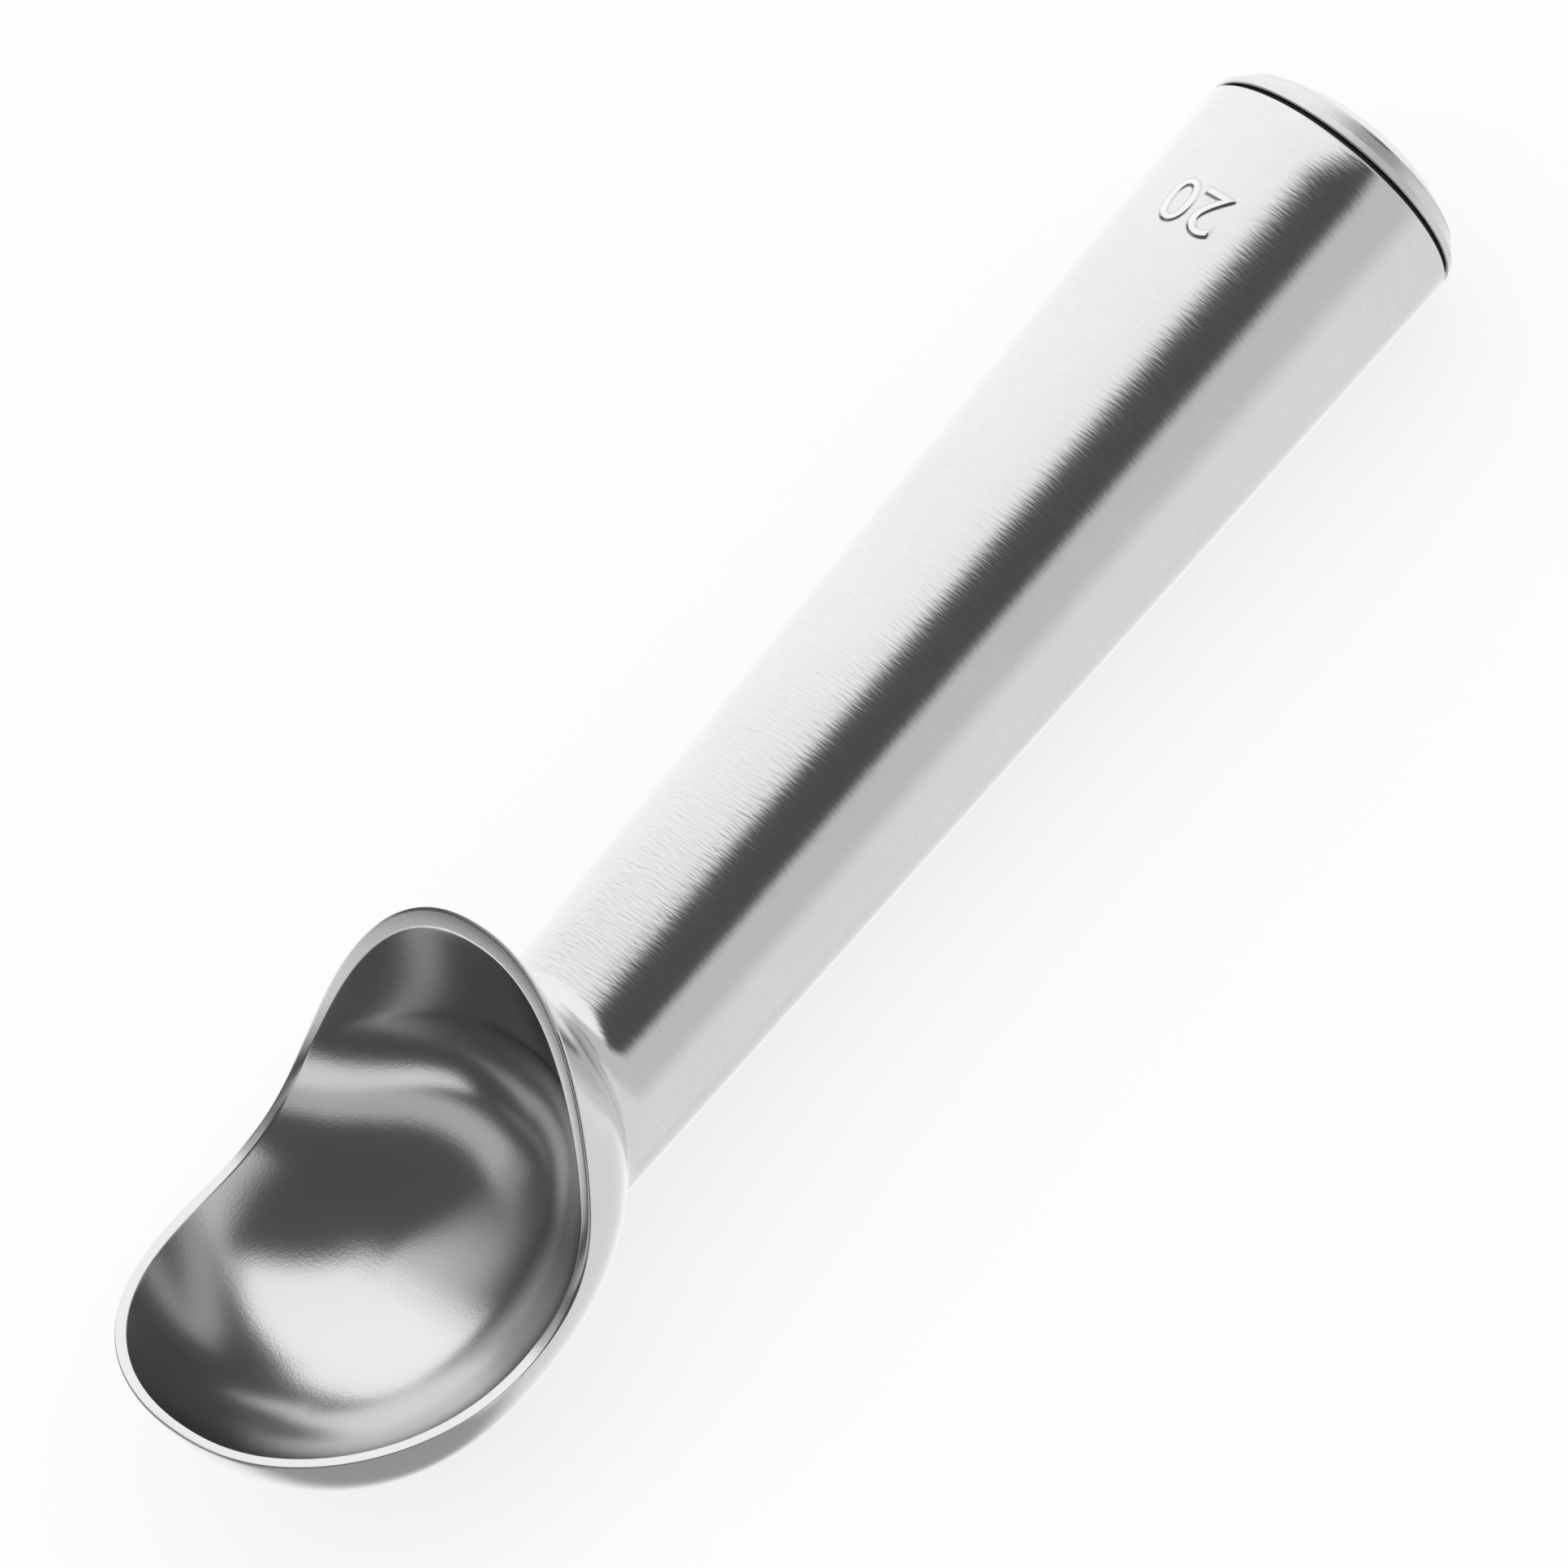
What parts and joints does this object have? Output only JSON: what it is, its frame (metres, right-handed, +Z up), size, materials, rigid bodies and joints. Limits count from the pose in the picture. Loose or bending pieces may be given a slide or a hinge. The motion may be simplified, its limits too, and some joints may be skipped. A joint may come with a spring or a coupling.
{
  "type": "ice cream dipper",
  "caption": "Ice cream dipper with a cast metal bowl whose rim dips at the sides, a thick tapered hollow handle holding heat fluid, and a domed end cap.",
  "frame": {"origin": "middle of the length and width, on the surface that the dipper lies on", "axes": "+X along the handle towards the end cap, +Y to the far side, +Z up, out of the mouth of the bowl"},
  "size_m": [0.1828, 0.0452, 0.0403],
  "materials": {
    "cast_aluminium": "satin, finely brushed",
    "cap_aluminium": "matt turned",
    "seal_rubber": "matt black",
    "heat_fluid": "clear liquid"
  },
  "bodies": {
    "root": {"dipper_casting": "cast_aluminium", "end_cap": "cap_aluminium", "cap_gasket": "seal_rubber", "cap_o_ring": "seal_rubber", "heat_fluid": "heat_fluid"}
  },
  "joints": []
}
